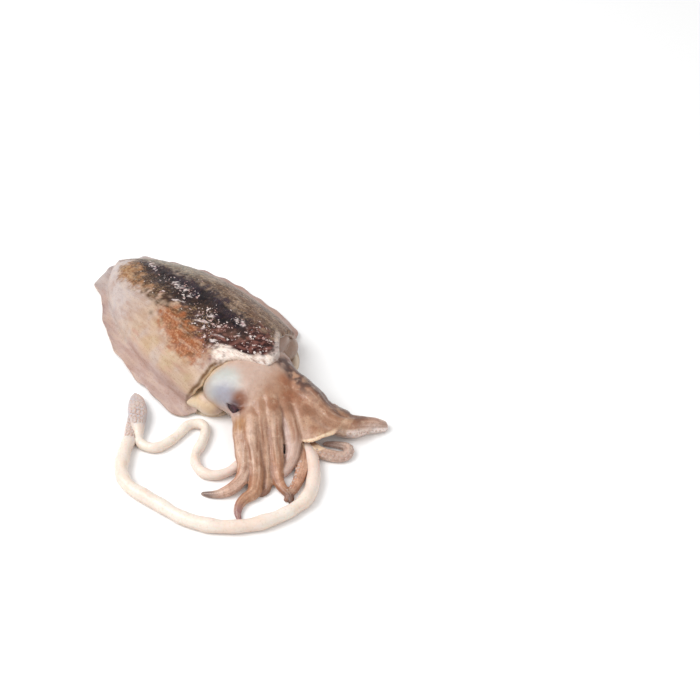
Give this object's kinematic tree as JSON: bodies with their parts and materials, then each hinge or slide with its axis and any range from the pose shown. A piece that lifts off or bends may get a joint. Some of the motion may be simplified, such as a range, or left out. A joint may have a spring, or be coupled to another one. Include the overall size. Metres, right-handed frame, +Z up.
{
  "type": "whole raw cuttlefish",
  "caption": "Whole raw cuttlefish lying on its belly: broad finned body sac, head under the sac's open lip, drooping tapered arms and two thin tentacles ending in flat clubs",
  "frame": {"origin": "On the surface the animal lies on, under the middle of the body sac", "axes": "+X runs from the tail to the head, +Y is the animal's left, +Z is up"},
  "size_m": [0.2341, 0.1545, 0.033],
  "materials": {
    "flesh": "wet, glossy, mottled"
  },
  "bodies": {
    "root": {"cuttlefish": "flesh"}
  },
  "joints": []
}
